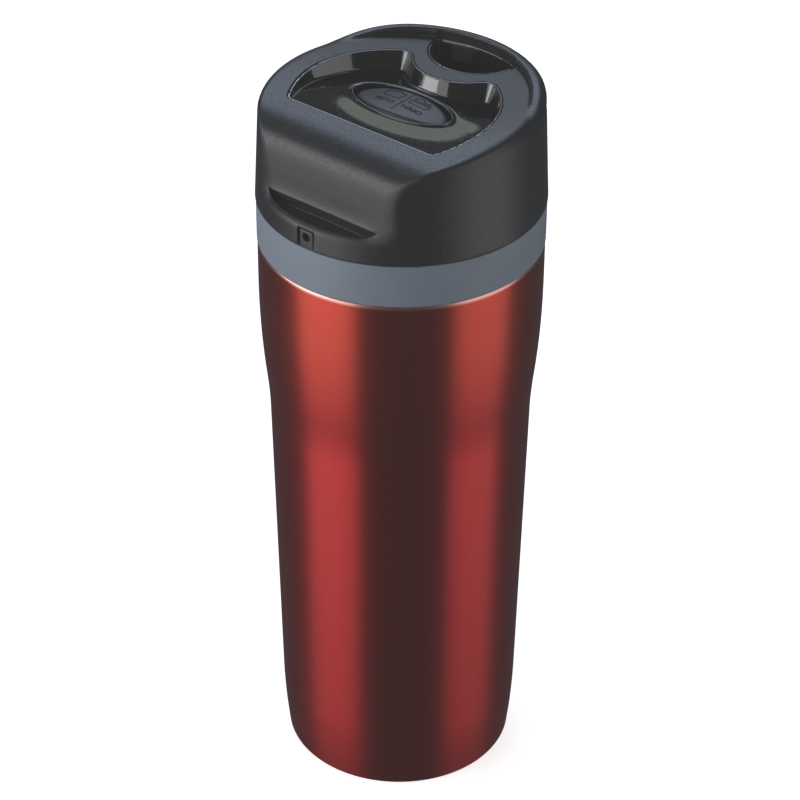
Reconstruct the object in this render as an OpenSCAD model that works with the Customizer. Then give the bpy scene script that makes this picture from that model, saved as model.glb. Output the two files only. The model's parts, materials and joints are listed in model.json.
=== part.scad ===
// Insulated travel mug: double-wall steel body, plastic collar, screw lid with a push-push drink valve.
// Origin at the middle of the base, +Z up, drinking spout towards +Y, thumb scoop towards -Y.

/* [Steel body] */
// Radius of the steel body at its widest, near the top
body_r = 36.55; // [36.3:0.05:36.6]
// Height of the steel body, up to the collar
body_h = 157.9; // [157.5:0.1:158]
// Radius at the waist, where the shoulder starts
waist_r = 34.25; // [34:0.05:34.6]
// Height of the waist
waist_z = 112; // [108:1:116]
// Height at which the shoulder has reached its full radius
shoulder_z = 145; // [140:1:150]
// Radius lost over the foot curve
foot_tuck = 1.1; // [0.6:0.1:1.4]
// Height of the foot curve
foot_h = 20.5; // [16:0.5:24]
// Widening of the lower body for each millimetre of height
taper = 0.023; // [0.018:0.001:0.026]
// Thickness of both steel walls
steel_t = 0.6; // [0.5:0.1:0.6]

/* [Collar] */
// Outer radius of the collar
collar_r = 36.7; // [36.6:0.05:36.75]
// Height of the collar's visible face
collar_h = 11.5; // [11.3:0.1:11.6]

/* [Lid] */
// Outer radius of the cover at its lower edge
lid_r = 36.9; // [36.8:0.05:37]
// Outer radius of the cover below the top fillet
lid_top_r = 35.8; // [35.7:0.05:35.9]
// Gap between collar and cover
lid_gap = 0.2; // [0.2:0.05:0.3]
// Height of the flat top above the base
top_z = 197.6; // [197.4:0.1:197.8]
// Height of the drinking lip above the base
lip_z = 200; // [199.5:0.1:200.5]
// Inner radius of the drinking lip and outer radius of the spout hole
lip_r = 31.5; // [31.3:0.1:31.7]
// Cover wall thickness
cover_t = 1.6; // [1.5:0.1:1.7]
// Distance of the scoop's lower face from the axis
scoop_y = 31.2; // [31:0.1:31.4]
// Height of the scoop's lower edge
scoop_z = 177.2; // [177:0.1:177.5]
// Radius of the roll at the top of the scoop
roll_r = 13.8; // [13.4:0.1:14.2]
// Radius of the gentle fall from the flat top to the roll
crown_r = 155; // [150:1:160]

/* [Recess] */
// Radius of the recess sides
recess_r = 26.1; // [25.8:0.1:26.4]
// Shift of the recess circle towards the scoop
recess_shift = 3.5; // [3:0.1:4]
// Distance of the recess's straight edge from the axis
chord_y = 16.3; // [16:0.1:16.6]
// Recess floor height at the straight edge
floor_chord_z = 194.8; // [194.7:0.05:194.9]
// Recess floor height on the axis
floor_mid_z = 193.7; // [193.5:0.05:193.8]

/* [Button] */
// Length of the oval button
button_l = 28.2; // [27.8:0.1:28.4]
// Width of the oval button
button_w = 12.6; // [12.2:0.1:12.7]
// Height of the button's face above the base
button_z = 194.8; // [194.7:0.1:194.9]
// Downward travel of the button
stroke = 3.8; // [3.5:0.1:3.8]

/* [Screw thread] */
// Number of thread starts
starts = 4; // [3:1:4]
// Rise for one full turn
lead = 14; // [13:0.5:15]
// Angle that each lug spans
lug_span = 60; // [50:1:66]
// Height of a lug above its wall
lug_h = 0.9; // [0.8:0.05:0.9]

/* [Hidden] */
$fn = 96;

// steel body
foot_fillet = 1.3;
rim_fillet = 0.7;
foot_ring_in = 27.6;
neck_out_r = 33.6;
neck_in_r = 31.4;
neck_h = 9;
shoulder_arc = (shoulder_z - waist_z) * (shoulder_z - waist_z) / (2 * (body_r - waist_r));
foot_arc = foot_h * foot_h / (2 * foot_tuck);

// base and liner
disc_z = 5;
pip_r = 6;
pip_t = 0.8;
dimple_z = disc_z - pip_t / 2;
dimple_r = 5.2;
vent_r = 1;
foil_z = [16, 140];
foil_gap = 0.15;
getter_x = 14;
getter_r = 4;
getter_h = 1.4;
cap_t = 0.9;
cap_lip = 1.2;
cap_ridge = 1;
cap_ridge_h = 1.5;
liner_floor_z = 8.5;
liner_foot_r = 28.6;
liner_corner = 6;
liner_start_z = 14;
liner_neck_z = 150;

// lid levels
collar_top = body_h + collar_h;
lid_z = collar_top + lid_gap;
top_fillet = 2;
hoop_t = 1.8;
flat_y = 10;
crown_y = -20.5;
hoop_z = 172;
pocket_z = 173.8;
pocket_r = 34.8;
lip_full_y = 28;
lip_end_y = 16.4;
bump_y = 25.5;
bump_r = 14;
corner_y = 18.3;
spout_cy = 30.2;
spout_r = 12.3;
catch_w = 5.4;
catch_h = 5.6;
catch_hole_z = 2.6;
catch_hole_r = 1.1;
catch_gap = 0.15;
catch_inset = 0.45;
catch_hole_depth = 1.6;

// thread lugs
lug_root_w = 1.6;
lug_tip_w = 0.8;
body_lug_z = 158.5;
lid_lug_z = body_lug_z - lead / starts / 2;

// deck
deck_t = 1.4;
window_gap = 0.08;
seat_gap = 0.1;
deck_fall = (floor_chord_z - floor_mid_z) / chord_y;
deck_reach = 4;
duct_t = 1.2;
cut_z = floor_mid_z - 5;
tray_wall_z = floor_mid_z - 2.4;

// common clearances, overlap of fused solids, overshoot and half-size of cutting blocks
press_gap = 0.05;
part_gap = 0.1;
fuse = 0.2;
over = 1;
reach = 40;

// lid insert
plug_r = 30.2;
plug_bore_r = 27.6;
plug_z = 153;
plug_floor_t = 1.6;
port_r = 9.5;
chamber_out_r = 33;
chamber_t = 1.4;
chamber_y = 21.5;
flange_r = 34.3;
groove_r = 28.9;
groove_z = [164.5, 167.3];
shoulder_r = 31;
flange_z = 169.9;
flange_t = 1.6;
chamber_top = 182.5;
skirt_z = 184;

// button and latch
ring_gap = 0.4;
ring_t = 0.6;
ring_z = 194.5;
well_floor_z = 187.2;
housing_r = 7.8;
housing_bore_r = 6.6;
housing_z = 165;
housing_floor_t = 1.2;
stem_seal_h = 1.6;
stem_r = 2.6;
stem_gap = 0.4;
socket_t = 1.4;
cap_z = well_floor_z + stroke + 0.3;
sleeve_bore_r = 5.8;
rib_r = 4.8;
rotor_r = 4.4;
rib_count = 4;
rib_half = 6;
fin_half = 7;
rib_z = 177;
sleeve_top = 186;
rotor_z = 175.7;
rotor_h = 3.5;
glue_gap = 0.03;
valve_r = 13;
valve_t = 2.4;
valve_top = plug_z - 1.3;
spring_r = 4.2;
spring_wire_r = 0.4;
spring_turns = 5;
spring_z = 166.3;

// ---- outlines and helpers -------------------------------------------------

function range_pts(a, b, n) = [for (i = [0 : n]) a + (b - a) * i / n];

// Outer radius of the steel body at height z
function foot_drop(z) = z < foot_h ? (foot_h - z) * (foot_h - z) / (2 * foot_arc) : 0;
function taper_r(z) = waist_r - (waist_z - z) * taper - foot_drop(z);
function shoulder_drop(z) = z < shoulder_z ? (shoulder_z - z) * (shoulder_z - z) / (2 * shoulder_arc) : 0;
function wall_r(z) = z < waist_z ? taper_r(z) : body_r - shoulder_drop(z);

function arc_pts(cx, cy, r, a0, a1, n) =
    [for (a = range_pts(a0, a1, n)) [cx + r * cos(a), cy + r * sin(a)]];

wall_levels = concat(range_pts(foot_fillet, foot_h, 6), [waist_z],
    range_pts(waist_z + 4, shoulder_z, 7));

// Liner's outer radius at height z
liner_slope = (neck_in_r + steel_t - liner_foot_r) / (liner_neck_z - liner_start_z);
function liner_r(z) = liner_foot_r + liner_slope * (min(z, liner_neck_z) - liner_start_z);

// Side view of the lid as [y, z] points, set in by t from the outer surface. Above face_z the scoop
// side is cut back to the scoop's face; below it the full width stays.
crown_slope = asin((flat_y - crown_y) / crown_r);
roll_cy = flat_y - (crown_r - roll_r) * sin(crown_slope);
roll_cz = top_z - crown_r + (crown_r - roll_r) * cos(crown_slope);

function roll_stop(t) = acos(max(-1, (-scoop_y + t - roll_cy) / (roll_r - t)));
function side_pts(t, face_z) = concat(
    [[reach, top_z - t]],
    arc_pts(flat_y, top_z - crown_r, crown_r - t, 90, 90 + crown_slope, 6),
    arc_pts(roll_cy, roll_cz, roll_r - t, 90 + crown_slope + 4, roll_stop(t), 12),
    [[-scoop_y + t, face_z], [-reach, face_z], [-reach, body_h], [reach, body_h]]);

module along_x(len) {
    rotate([90, 0, 90]) linear_extrude(len, center = true) children();
}

module ellipse(l, w) {
    polygon([for (a = [0 : 5 : 355]) [l / 2 * cos(a), w / 2 * sin(a)]]);
}

// Triangles of a tube wall between rings of points, with both ends closed
function sweep_faces(rings, sides) = concat(
    [for (i = [0 : rings - 2]) for (j = [0 : sides - 1]) let (k = (j + 1) % sides)
        [i * sides + j, i * sides + k, (i + 1) * sides + k]],
    [for (i = [0 : rings - 2]) for (j = [0 : sides - 1]) let (k = (j + 1) % sides)
        [i * sides + j, (i + 1) * sides + k, (i + 1) * sides + j]],
    [[for (j = [sides - 1 : -1 : 0]) j], [for (j = [0 : sides - 1]) (rings - 1) * sides + j]]);

function flipped(faces) = [for (f = faces) [for (j = [len(f) - 1 : -1 : 0]) f[j]]];

// One helical lug: a trapezoid swept around the axis from angle a0
module helix_lug(root_r, tip_r, z0, a0) {
    steps = 14;
    root = lug_root_w / 2;
    tip = lug_tip_w / 2;
    section = [[root_r, -root], [root_r, root], [tip_r, tip], [tip_r, -tip]];
    pts = [for (i = [0 : steps]) for (p = section) let (turn = lug_span * i / steps)
        [p[0] * cos(a0 + turn), p[0] * sin(a0 + turn), z0 + lead * turn / 360 + p[1]]];
    faces = sweep_faces(steps + 1, 4);
    polyhedron(pts, tip_r > root_r ? flipped(faces) : faces);
}

// ---- steel body -----------------------------------------------------------

module outer_shell() {
    color("firebrick") rotate_extrude() polygon(concat(
        [[foot_ring_in, 0], [wall_r(foot_fillet) - foot_fillet, 0]],
        arc_pts(wall_r(foot_fillet) - foot_fillet, foot_fillet, foot_fillet, -70, 0, 5),
        [for (z = wall_levels) [wall_r(z), z]],
        [[body_r, body_h - rim_fillet]],
        arc_pts(body_r - rim_fillet, body_h - rim_fillet, rim_fillet, 20, 90, 4),
        [[neck_out_r, body_h], [neck_out_r, body_h + neck_h]],
        [[neck_out_r - steel_t, body_h + neck_h], [neck_out_r - steel_t, body_h - steel_t]],
        [[body_r - steel_t, body_h - steel_t]],
        [for (i = [len(wall_levels) - 1 : -1 : 0]) [wall_r(wall_levels[i]) - steel_t, wall_levels[i]]],
        [[wall_r(foot_fillet) - foot_fillet, steel_t], [foot_ring_in, steel_t]]));
}

module inner_liner() {
    rim_z = body_h + neck_h;
    inner_foot = liner_corner - steel_t;
    color("silver") union() {
        rotate_extrude() polygon(concat(
            [[0, liner_floor_z]],
            arc_pts(liner_foot_r - liner_corner, liner_floor_z + liner_corner, liner_corner, -90, 0, 6),
            [[liner_r(liner_neck_z), liner_neck_z], [neck_in_r + steel_t, rim_z]],
            [[neck_out_r, rim_z], [neck_out_r, rim_z + steel_t], [neck_in_r, rim_z + steel_t]],
            [[neck_in_r, liner_neck_z]],
            arc_pts(liner_foot_r - liner_corner, liner_floor_z + liner_corner, inner_foot, 0, -90, 6),
            [[0, liner_floor_z + steel_t]]));
        for (i = [0 : starts - 1])
            helix_lug(neck_in_r + fuse, neck_in_r - lug_h, body_lug_z, i * 360 / starts);
    }
}

module foil_wrap() {
    inner = [for (z = foil_z) liner_r(z) + foil_gap];
    color("goldenrod") rotate_extrude() polygon([
        [inner[0], foil_z[0]], [inner[0] + foil_gap, foil_z[0]],
        [inner[1] + foil_gap, foil_z[1]], [inner[1], foil_z[1]]]);
}

// Closing disc of the vacuum space, with a dimple and a vent hole in its middle
module base_disc() {
    color("silver") difference() {
        union() {
            prism(disc_z, disc_z + steel_t) circle(r = wall_r(disc_z) - steel_t - press_gap);
            prism(disc_z - pip_t - fuse, disc_z) circle(r = pip_r);
        }
        prism(dimple_z, disc_z + steel_t + over) circle(r = dimple_r);
        prism(disc_z - pip_t - over, disc_z) circle(r = vent_r);
    }
}

// Plug brazed into the vent hole
module vacuum_seal() {
    color("dimgray") union() {
        prism(dimple_z + press_gap, disc_z + press_gap) circle(r = dimple_r - 0.7);
        prism(disc_z - pip_t, dimple_z + 2 * press_gap) circle(r = vent_r - part_gap);
    }
}

module getter() {
    floor_t = 0.9;
    color("gray") translate([getter_x, 0, disc_z + steel_t]) difference() {
        cylinder(h = getter_h, r = getter_r);
        translate([0, 0, floor_t]) cylinder(h = getter_h, r = getter_r - 1.4);
    }
}

// Base cap: it shows inside the foot ring and has a lip above the ring
module base_cap() {
    show_r = foot_ring_in - part_gap;
    lip_r = foot_ring_in + cap_lip;
    lip_bottom = steel_t + part_gap;
    color("gainsboro") rotate_extrude() polygon([
        [0, 0], [show_r, 0], [show_r, lip_bottom], [lip_r, lip_bottom], [lip_r, cap_ridge_h],
        [foot_ring_in - cap_ridge, cap_ridge_h], [foot_ring_in - cap_ridge, cap_t], [0, cap_t]]);
}

module collar_band() {
    top_lip = 1.7;
    edge = 0.3;
    bore_r = neck_out_r + part_gap;
    mouth_r = neck_in_r + 1;
    bottom = body_h + press_gap;
    color("slategray") rotate_extrude() polygon([
        [bore_r, bottom], [collar_r - edge, bottom], [collar_r, bottom + edge],
        [collar_r, collar_top - edge], [collar_r - edge, collar_top], [mouth_r, collar_top],
        [mouth_r, collar_top - top_lip], [bore_r, collar_top - top_lip]]);
}

// ---- lid ------------------------------------------------------------------

// Top view of the recess: a round window with a straight edge and a bump around the spout
module recess_outline(grow = 0) {
    difference() {
        intersection() {
            translate([0, -recess_shift]) circle(r = recess_r + grow);
            translate([-reach, -chord_y - grow]) square([2 * reach, chord_y + corner_y + 2 * grow]);
        }
        translate([0, bump_y]) circle(r = bump_r - grow);
    }
}

// Top view of the spout hole: a lens between two circles
module spout_outline(grow = 0) {
    intersection() {
        translate([0, spout_cy]) circle(r = spout_r + grow);
        circle(r = lip_r + grow);
    }
}

module prism(z0, z1) {
    translate([0, 0, z0]) linear_extrude(z1 - z0) children();
}

module lid_body() {
    edge = 0.3;
    rotate_extrude() polygon(concat(
        [[0, lid_z], [lid_r - edge, lid_z], [lid_r, lid_z + edge]],
        [[lid_top_r, top_z - top_fillet]],
        arc_pts(lid_top_r - top_fillet, top_z - top_fillet, top_fillet, 15, 90, 5),
        [[0, top_z]]));
}

// Raised drinking lip: a ring that a ramp cuts down to the flat top at both ends
module drinking_lip() {
    ramp = [for (a = [0 : 15 : 180])
        [lip_end_y + (lip_full_y - lip_end_y) * a / 180, top_z + (lip_z - top_z) * (1 - cos(a)) / 2]];
    lip_fillet = 1.6;
    edge = 0.4;
    root_z = top_z - 1.5;
    intersection() {
        rotate_extrude() polygon(concat(
            [[lip_r, root_z], [lid_top_r, root_z], [lid_top_r, lip_z - lip_fillet]],
            arc_pts(lid_top_r - lip_fillet, lip_z - lip_fillet, lip_fillet, 15, 90, 5),
            [[lip_r + edge, lip_z], [lip_r, lip_z - edge]]));
        along_x(2 * reach)
            polygon(concat(ramp, [[reach, lip_z], [reach, root_z - over], [lip_end_y, root_z - over]]));
    }
}

// Space inside the cover, less a clearance
module lid_cavity(clear) {
    t = cover_t + clear;
    low_r = lid_r - hoop_t - clear;
    corner = 0.8;
    corner_z = top_z - 3;
    intersection() {
        rotate_extrude() polygon([
            [0, lid_z - over], [low_r, lid_z - over], [low_r, hoop_z],
            [lid_top_r - t, corner_z], [lid_top_r - t - corner, top_z - t], [0, top_z - t]]);
        along_x(2 * reach) polygon(side_pts(t, hoop_z - clear));
    }
}

module lid_cover() {
    color("#26282b") difference() {
        union() {
            intersection() {
                lid_body();
                along_x(2 * reach) polygon(side_pts(0, scoop_z));
            }
            drinking_lip();
        }
        lid_cavity(0);
        prism(cut_z, lip_z + over) recess_outline();
        prism(cut_z, lip_z + over) spout_outline();
        finger_pocket();
        catch_slot(catch_gap);
    }
}

// Lens-shaped pocket behind the lower hoop, under the scoop's edge
module finger_pocket() {
    prism(pocket_z, scoop_z + over) intersection() {
        circle(r = pocket_r);
        translate([-reach, -reach - scoop_y]) square([2 * reach, reach]);
    }
}

module catch_slot(clear) {
    w = catch_w + 2 * clear;
    translate([-w / 2, -reach, lid_z - over])
        cube([w, reach - flange_r - part_gap, catch_h + over + clear]);
}

module catch_tab() {
    color("#303236") difference() {
        intersection() {
            catch_slot(0);
            prism(lid_z + press_gap, lid_z + catch_h) difference() {
                circle(r = lid_r - catch_inset);
                circle(r = flange_r + part_gap);
            }
        }
        translate([0, -lid_r - over, lid_z + catch_hole_z]) rotate([-90, 0, 0])
            cylinder(h = catch_hole_depth + over, r = catch_hole_r, $fn = 32);
    }
}

// Top view of the drink chamber: round, with a straight side towards the scoop
module chamber_outline(inset = 0) {
    difference() {
        circle(r = chamber_out_r - inset);
        translate([-reach, -2 * reach - chamber_y + inset]) square([2 * reach, 2 * reach]);
    }
}

// Height of the tray's floor at distance y from the axis
function floor_z(y) = floor_mid_z - deck_fall * y;

module tray_slab() {
    back = -chord_y - deck_reach;
    front = corner_y + deck_reach;
    along_x(2 * reach) polygon([
        [back, floor_z(back)], [front, floor_z(front)],
        [front, floor_z(front) - deck_t], [back, floor_z(back) - deck_t]]);
}

// Space above the tray's floor, inside the recess
module tray_space() {
    intersection() {
        prism(cut_z, lip_z) recess_outline();
        along_x(2 * reach) polygon([
            [-reach, floor_z(-reach)], [reach, floor_z(reach)], [reach, lip_z], [-reach, lip_z]]);
    }
}

// Glossy deck under the cover: tray, spout duct, button well and latch housing
module top_panel() {
    well_l = button_l + 2 * ring_gap;
    well_w = button_w + 2 * ring_gap;
    color("#0c0d0e") difference() {
        union() {
            difference() {
                union() {
                    intersection() {
                        lid_cavity(seat_gap);
                        deck_walls();
                    }
                    intersection() {
                        tray_slab();
                        prism(cut_z, top_z) recess_outline(-window_gap);
                    }
                }
                tray_space();
            }
            prism(well_floor_z - deck_t, ring_z) ellipse(well_l + 2 * ring_t, well_w + 2 * ring_t);
            prism(housing_z, well_floor_z - fuse) circle(r = housing_r);
        }
        prism(well_floor_z, lip_z) ellipse(well_l, well_w);
        prism(housing_z + housing_floor_t, well_floor_z + over) circle(r = housing_bore_r);
        prism(housing_z - over, housing_z + housing_floor_t + over) circle(r = stem_r + stem_gap);
        prism(skirt_z - over, top_z) spout_outline();
    }
}

module deck_walls() {
    difference() {
        prism(skirt_z, top_z) chamber_outline();
        difference() {
            lid_cavity(seat_gap + deck_t);
            prism(skirt_z - over, top_z) difference() {
                chamber_outline(-over);
                chamber_outline(chamber_t);
            }
            tray_slab_solid();
            prism(skirt_z, top_z) spout_outline(duct_t);
        }
    }
}

module tray_slab_solid() {
    intersection() {
        union() {
            tray_slab();
            prism(tray_wall_z, top_z) difference() {
                recess_outline(deck_t);
                recess_outline();
            }
        }
        prism(cut_z, top_z) recess_outline(deck_t);
    }
}

// Threaded plug with the valve port in its floor and the drink chamber above its flange
module lid_insert() {
    flange_top = flange_z + flange_t;
    edge = 0.5;
    color("#2b2d30") union() {
        rotate_extrude() polygon([
            [port_r, plug_z], [plug_r - edge, plug_z], [plug_r, plug_z + edge], [plug_r, groove_z[0]],
            [groove_r, groove_z[0]], [groove_r, groove_z[1]], [shoulder_r, groove_z[1]],
            [shoulder_r, flange_z], [flange_r, flange_z], [flange_r, flange_top], [plug_bore_r, flange_top],
            [plug_bore_r, plug_z + plug_floor_t], [port_r, plug_z + plug_floor_t]]);
        prism(flange_top - fuse, chamber_top) difference() {
            chamber_outline();
            chamber_outline(chamber_t);
        }
        prism(flange_z, flange_top) difference() {
            circle(r = plug_bore_r + edge);
            chamber_outline(chamber_t);
        }
        for (i = [0 : starts - 1])
            helix_lug(plug_r - fuse, plug_r + lug_h, lid_lug_z, i * 360 / starts);
    }
}

module deck_gasket() {
    inset = 0.2;
    color("lightgray") prism(chamber_top + press_gap, skirt_z - press_gap) difference() {
        chamber_outline(inset);
        chamber_outline(chamber_t - inset);
    }
}

// Silicone ring in the plug's groove, with two lips that meet the neck
module neck_seal() {
    lip_reach = neck_in_r - 0.15;
    valley_r = lip_reach - 0.65;
    back_r = groove_r + part_gap;
    groove_gap = 0.3;
    tip_h = 0.5;
    lip_h = 0.9;
    bottom = groove_z[0] + groove_gap;
    top = groove_z[1] - groove_gap;
    color("lightgray") rotate_extrude() polygon([
        [back_r, bottom], [valley_r, bottom], [lip_reach, bottom + tip_h], [valley_r, bottom + lip_h],
        [valley_r, top - lip_h], [lip_reach, top - tip_h], [valley_r, top], [back_r, top]]);
}

// Wiper ring under the housing, around the stem
module stem_seal() {
    inner = stem_r + part_gap;
    outer = housing_bore_r - 2 * part_gap;
    top = housing_z - part_gap;
    bottom = top - stem_seal_h;
    bevel = 0.6;
    color("lightgray") rotate_extrude() polygon([
        [inner, top], [outer, top], [outer, bottom], [inner + bevel, bottom], [inner, bottom + bevel]]);
}

// Cup that snaps over the housing and holds the wiper ring
module seal_retainer() {
    hole_r = stem_r + socket_t;
    inner = housing_r + press_gap;
    outer = housing_r + 1.3;
    shelf_z = housing_z - stem_seal_h - 2 * part_gap;
    bottom = shelf_z - 1.4;
    top = housing_z + 4;
    color("#2b2d30") rotate_extrude() polygon([
        [hole_r, bottom], [outer, bottom], [outer, top], [inner, top], [inner, shelf_z],
        [hole_r, shelf_z]]);
}

// ---- button, latch and valve ----------------------------------------------

// Ring sectors centred on equal angles from a0
module sectors(r0, r1, half, a0) {
    for (i = [0 : rib_count - 1]) rotate(a0 + i * 360 / rib_count) intersection() {
        difference() {
            circle(r = r1);
            circle(r = r0);
        }
        rotate(-half) polygon([[0, 0], [2 * r1, 0], [2 * r1 * cos(2 * half), 2 * r1 * sin(2 * half)]]);
    }
}

module latch_sleeve() {
    color("ivory") prism(rib_z, sleeve_top) {
        difference() {
            circle(r = housing_bore_r - press_gap);
            circle(r = sleeve_bore_r);
        }
        sectors(rib_r, sleeve_bore_r + fuse, rib_half, 180 / rib_count);
    }
}

module latch_rotor() {
    color("ivory") prism(rotor_z, rotor_z + rotor_h) {
        difference() {
            circle(r = rotor_r);
            circle(r = stem_r + part_gap);
        }
        sectors(rotor_r - fuse, sleeve_bore_r - 2 * part_gap, fin_half, 0);
    }
}

module button_stem() {
    collar_z = rotor_z + rotor_h + 2 * part_gap;
    stem_collar_h = 1.6;
    color("ivory") union() {
        prism(valve_top + 2 * part_gap, cap_z - over) circle(r = stem_r);
        prism(collar_z, collar_z + stem_collar_h) circle(r = rotor_r);
    }
}

// Oval button with a stepped round edge, and a socket for the stem
module button_cap() {
    edge = 0.7;
    socket_h = 3.3;
    socket_top = cap_z - 0.9;
    color("#26282b") difference() {
        union() {
            prism(cap_z, button_z - edge) ellipse(button_l, button_w);
            prism(cap_z, button_z - edge / 3) ellipse(button_l - edge, button_w - edge);
            prism(cap_z, button_z) ellipse(button_l - 3 * edge, button_w - 3 * edge);
            prism(cap_z - socket_h, cap_z + over) circle(r = stem_r + socket_t);
        }
        prism(cap_z - socket_h - over, socket_top) circle(r = stem_r + glue_gap);
    }
}

// Disc that closes the port from below, with a sleeve around the stem
module valve_plug() {
    bottom = valve_top - valve_t;
    edge = 1;
    bore_r = stem_r + glue_gap;
    bore_z = valve_top + 0.15;
    sleeve_r = stem_r + 1.2;
    sleeve_z = valve_top + 6;
    color("#2b2d30") rotate_extrude() polygon([
        [0, bottom], [valve_r - edge, bottom], [valve_r, bottom + edge], [valve_r, valve_top],
        [sleeve_r, valve_top], [sleeve_r, sleeve_z], [bore_r, sleeve_z], [bore_r, bore_z], [0, bore_z]]);
}

module valve_gasket() {
    inner = port_r - 0.6;
    outer = valve_r - 0.4;
    bottom = valve_top + press_gap;
    top = plug_z - press_gap;
    bevel = 0.35;
    color("lightgray") rotate_extrude() polygon([
        [inner, bottom], [outer, bottom], [outer, top - bevel], [outer - bevel, top],
        [inner + bevel, top], [inner, top - bevel]]);
}

module button_spring() {
    sides = 6;
    steps = 20 * spring_turns;
    top = rotor_z - part_gap;
    rise = top - spring_z - 2 * spring_wire_r;
    low = spring_z + spring_wire_r;
    pts = [for (i = [0 : steps]) for (j = [0 : sides - 1])
        let (a = 360 * spring_turns * i / steps, b = 360 * j / sides, r = spring_r + spring_wire_r * cos(b))
        [r * cos(a), r * sin(a), low + rise * i / steps + spring_wire_r * sin(b)]];
    color("silver") polyhedron(pts, sweep_faces(steps + 1, sides));
}

outer_shell();
inner_liner();
foil_wrap();
getter();
base_disc();
vacuum_seal();
base_cap();
collar_band();
lid_cover();
top_panel();
lid_insert();
deck_gasket();
neck_seal();
stem_seal();
seal_retainer();
latch_sleeve();
catch_tab();
button_cap();
button_stem();
latch_rotor();
button_spring();
valve_plug();
valve_gasket();
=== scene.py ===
"""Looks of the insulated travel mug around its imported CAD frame.

Shapes are in millimetres until their mesh is made. Lights and the camera are in metres.
"""

import json
import math

import bpy
import numpy as np
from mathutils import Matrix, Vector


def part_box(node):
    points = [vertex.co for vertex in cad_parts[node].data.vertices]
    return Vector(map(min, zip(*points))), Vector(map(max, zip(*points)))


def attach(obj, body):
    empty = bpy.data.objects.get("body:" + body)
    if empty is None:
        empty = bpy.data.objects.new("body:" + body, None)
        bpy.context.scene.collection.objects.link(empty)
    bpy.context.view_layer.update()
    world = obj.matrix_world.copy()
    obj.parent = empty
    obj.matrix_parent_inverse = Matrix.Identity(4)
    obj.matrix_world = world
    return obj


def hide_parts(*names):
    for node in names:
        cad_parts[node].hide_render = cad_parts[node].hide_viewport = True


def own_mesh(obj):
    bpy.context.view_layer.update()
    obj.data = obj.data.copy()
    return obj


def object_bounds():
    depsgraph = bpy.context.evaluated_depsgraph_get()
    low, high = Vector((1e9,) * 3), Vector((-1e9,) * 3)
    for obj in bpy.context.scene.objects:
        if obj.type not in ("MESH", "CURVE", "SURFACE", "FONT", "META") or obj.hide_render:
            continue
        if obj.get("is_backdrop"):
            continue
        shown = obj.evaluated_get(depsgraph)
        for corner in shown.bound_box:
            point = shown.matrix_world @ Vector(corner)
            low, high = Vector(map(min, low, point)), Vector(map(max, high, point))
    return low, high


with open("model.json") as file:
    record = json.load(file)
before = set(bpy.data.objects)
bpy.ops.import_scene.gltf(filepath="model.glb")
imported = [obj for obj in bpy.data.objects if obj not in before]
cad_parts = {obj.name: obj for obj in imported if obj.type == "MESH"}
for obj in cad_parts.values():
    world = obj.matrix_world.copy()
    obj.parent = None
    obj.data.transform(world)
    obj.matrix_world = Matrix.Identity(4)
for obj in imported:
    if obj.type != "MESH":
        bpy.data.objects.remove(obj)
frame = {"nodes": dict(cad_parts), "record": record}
cad_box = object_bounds()

MM = 0.001

# view: lifts the darkest tones a little, as haze in a studio does
BLACK_LIFT = -0.019

# mesh detail
LATHE_SIDES = 256
FOOT_RINGS = 12
WALL_RINGS = 8
WAIST_RINGS = 40
OVAL_SIDES = 192
CREASE_ANGLE = 35
CELL = 0.4
COARSE_CELL = 0.8
FINE_CELL = 0.3
CATCH_CELL = 0.16
SNAP_STEPS = 4
SNAP_LIMIT = 0.3
LEAST_SLOPE = 0.05
LEAST_NORMAL = 1e-6
TINY = 1e-3

# steel body
BODY_R = 36.55
BODY_H = 157.9
WAIST_R = 34.25
WAIST_Z = 112.0
SHOULDER_Z = 145.0
BEND_H = 5.0
BEND_SAMPLES = 9
WALL_LOW_Z = 30.5
WALL_HIGH_Z = 100.0
BEND_LOW_Z = 102.0
TAPER = 0.023
FOOT_TUCK = 1.1
FOOT_H = 20.5
FOOT_FILLET = 1.3
FOOT_RING_R = 27.6
RIM_FILLET = 0.8
STEEL_T = 0.6
NECK_OUT_R = 33.6
NECK_IN_R = 31.4
NECK_H = 9.0

# collar
COLLAR_R = 36.7
COLLAR_TOP = 169.4
COLLAR_T = 1.7
COLLAR_EDGE = 0.35
COLLAR_GAP = 0.05
COLLAR_STEP = 1

# lid cover
LID_Z = 169.6
LID_R = 36.9
LID_TOP_R = 35.8
LID_FILLET = 4.5
LID_FOOT_R = 0.4
TOP_Z = 197.6
COVER_T = 1.6
COVER_EDGE = 0.3
CROWN_R = 155.0
FLAT_Y = 10.0
FLAT_END_Y = -20.5
ROLL_R = 13.8

# drinking lip
LIP_Z = 199.8
LIP_R = 31.5
LIP_FILLET = 2.6
LIP_INNER_R = 1.0
LIP_ROOT_R = 0.7
LIP_FULL_Y = 29.0
LIP_END_Y = -4.0
LIP_SUNK = 3.0

# thumb scoop, with the pocket at its foot
SCOOP_Y = 30.7
SCOOP_Z = 177.4
SCOOP_R = 4.0
SCOOP_FLARE = 5.0
SCOOP_EDGE = 0.8
SCOOP_EDGE_Z = 193
SCOOP_EDGE_FALL = 14
SCOOP_EDGE_GROWTH = 0.13
HOOP_T = 1.8
HOOP_Z = 176.3
POCKET_Z = 174.3
POCKET_R = 34.9
POCKET_Y = 29.4
POCKET_CORNER = 1.2
POCKET_BACK = 0.3
POCKET_EDGE = 0.6

# space inside the cover
CAVITY_Z = 172
CAVITY_LEAN = 0.055
CAVITY_CORNER = 0.3

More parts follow.
